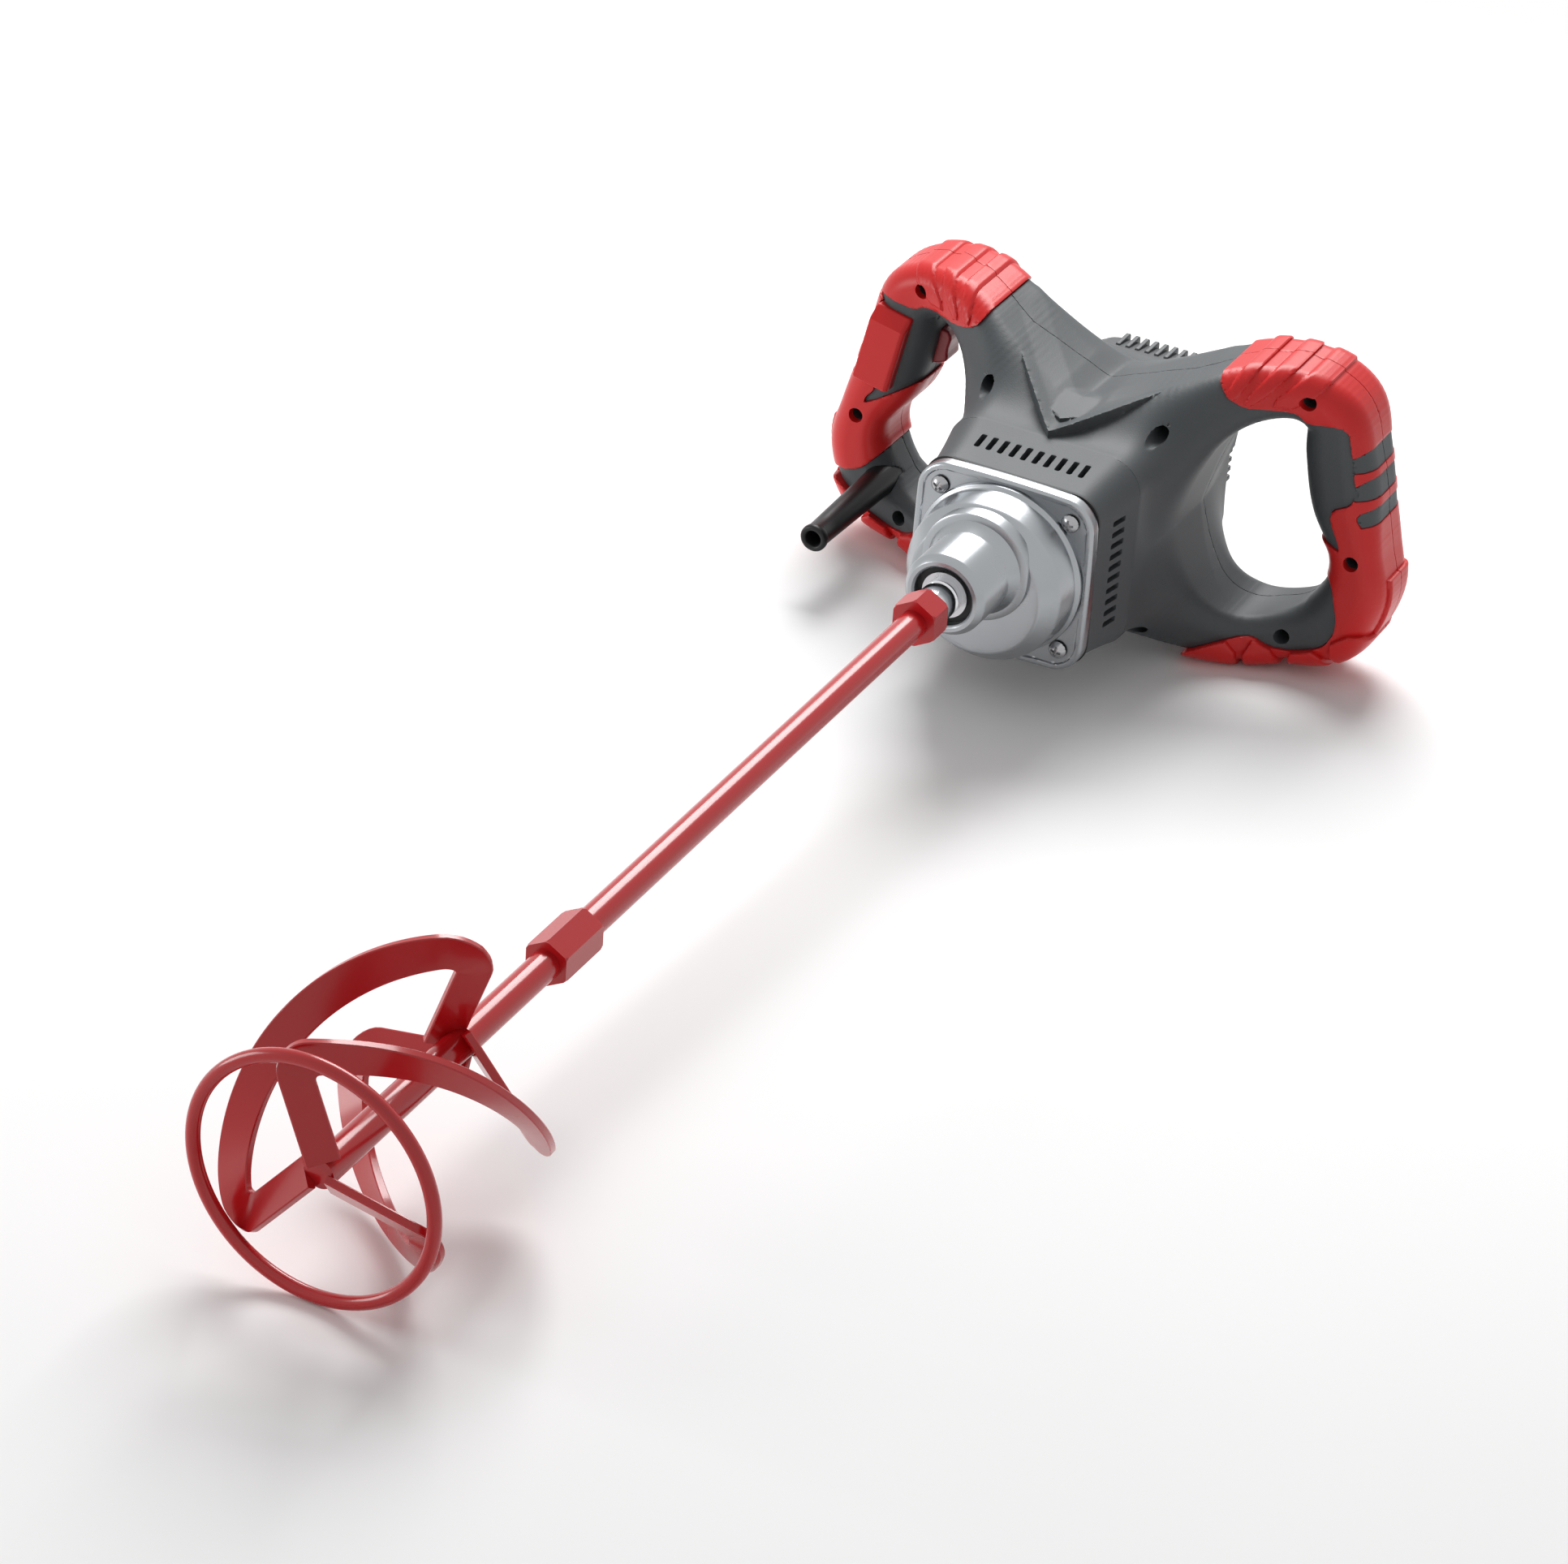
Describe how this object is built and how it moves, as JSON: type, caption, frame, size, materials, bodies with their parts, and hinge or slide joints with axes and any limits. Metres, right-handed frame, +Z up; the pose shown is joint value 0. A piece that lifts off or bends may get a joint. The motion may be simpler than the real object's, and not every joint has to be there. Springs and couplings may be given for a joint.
{
  "type": "mixing drill",
  "caption": "Two-handed mixing drill with closed loop handles, geared motor head, nose collar and a screw-on paddle with helical blades and a ring.",
  "frame": {"origin": "middle of the clamping collar on the nose, on the spindle axis", "axes": "-Y along the spindle towards the paddle, +X to the right handle seen from the paddle's side looking along +Y, +Z up"},
  "size_m": [0.3256, 0.8206, 0.1777],
  "materials": {
    "body_grey": "textured",
    "guard_red": "satin",
    "cover_dark": "textured",
    "gear_case_metal": "die-cast satin",
    "screw_steel": "satin",
    "shaft_steel": "ground",
    "adapter_steel": "polished",
    "bronze": "plain",
    "seal_rubber": "matt",
    "boot_rubber": "satin",
    "gasket_fibre": "matt",
    "core_iron": "laminated",
    "copper_winding": "varnished",
    "brush_carbon": "matt",
    "inner_plastic": "plain",
    "paddle_paint": "gloss"
  },
  "bodies": {
    "housing": {"front_shell": "body_grey", "rear_shell": "body_grey", "vent_collar": "body_grey", "rear_cover": "cover_dark", "right_guard_front": "guard_red", "right_guard_rear": "guard_red", "left_top_guard_front": "guard_red", "left_top_guard_rear": "guard_red", "left_side_guard_front": "guard_red", "left_side_guard_rear": "guard_red", "left_foot_guard_front": "guard_red", "left_foot_guard_rear": "guard_red", "switch_cover": "guard_red", "switch_body": "inner_plastic", "cord_boot": "boot_rubber", "cord_clamp": "inner_plastic", "gear_case": "gear_case_metal", "flange_gasket": "gasket_fibre", "flange_screws": "screw_steel", "shell_screws": "screw_steel", "rear_cover_screws": "screw_steel", "spindle_seal": "seal_rubber", "spindle_front_bearing": "shaft_steel", "spindle_rear_bush": "bronze", "countershaft_front_bush": "bronze", "countershaft_rear_bush": "bronze", "gear_plate": "gear_case_metal", "motor_front_bearing": "shaft_steel", "motor_rear_bearing": "shaft_steel", "field_core": "core_iron", "field_windings": "copper_winding", "brush_holders": "bronze", "carbon_brushes": "brush_carbon"},
    "output": {"spindle": "shaft_steel", "output_gear": "shaft_steel", "paddle_adapter": "adapter_steel", "upper_shaft": "paddle_paint", "hex_coupling": "paddle_paint", "lower_shaft": "paddle_paint", "mixing_blade_1": "paddle_paint", "mixing_blade_2": "paddle_paint", "mixing_blade_3": "paddle_paint", "paddle_ring": "paddle_paint"},
    "countershaft": {"countershaft": "shaft_steel", "countershaft_gear": "shaft_steel"},
    "armature": {"armature_shaft": "shaft_steel", "armature_core": "core_iron", "armature_windings": "copper_winding", "commutator": "copper_winding", "fan": "inner_plastic"},
    "trigger": {"trigger": "guard_red"}
  },
  "joints": [
    {"name": "output_spin", "type": "hinge", "parent": "housing", "child": "output", "pos_m": [0, 0, 0], "axis": [0, 1, 0], "continuous": true},
    {"name": "countershaft_spin", "type": "hinge", "parent": "housing", "child": "countershaft", "pos_m": [0.01702, 0.04, -0.01566], "axis": [0, 1, 0], "continuous": true},
    {"name": "armature_spin", "type": "hinge", "parent": "housing", "child": "armature", "pos_m": [0, 0.12, -0.014], "axis": [0, 1, 0], "continuous": true},
    {"name": "trigger_pull", "type": "slide", "parent": "housing", "child": "trigger", "axis": [-1, 0, 0], "range_m": [0, 0.006], "stiffness_N_per_m": 600}
  ],
  "couplings": [
    {"joint": "countershaft_spin", "follows": "output_spin", "ratio": -3},
    {"joint": "armature_spin", "follows": "output_spin", "ratio": 10.5}
  ]
}
